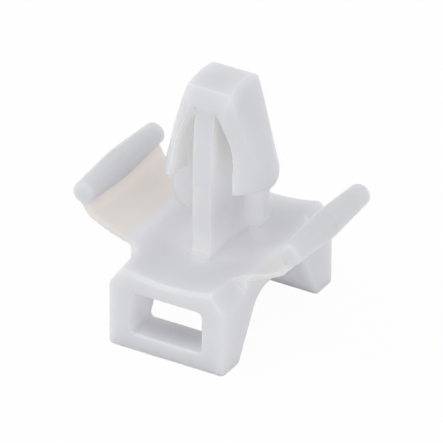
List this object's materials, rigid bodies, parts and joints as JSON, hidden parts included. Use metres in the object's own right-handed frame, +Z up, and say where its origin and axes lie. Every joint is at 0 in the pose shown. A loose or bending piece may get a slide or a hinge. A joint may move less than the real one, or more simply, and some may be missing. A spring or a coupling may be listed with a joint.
{
  "type": "push-in cable tie mount",
  "caption": "Push-in cable tie mount: an arched saddle with tie slots, spring wings that press on the panel and a barbed anchor that snaps into a hole.",
  "frame": {"origin": "centre of the part in plan, on the plane that the feet stand on", "axes": "+X across the wings, +Y from one foot to the other, +Z up the anchor"},
  "size_m": [0.0168, 0.0138, 0.0173],
  "materials": {
    "nylon": "satin, slightly translucent natural nylon"
  },
  "bodies": {
    "root": {"tie_mount": "nylon"}
  },
  "joints": []
}
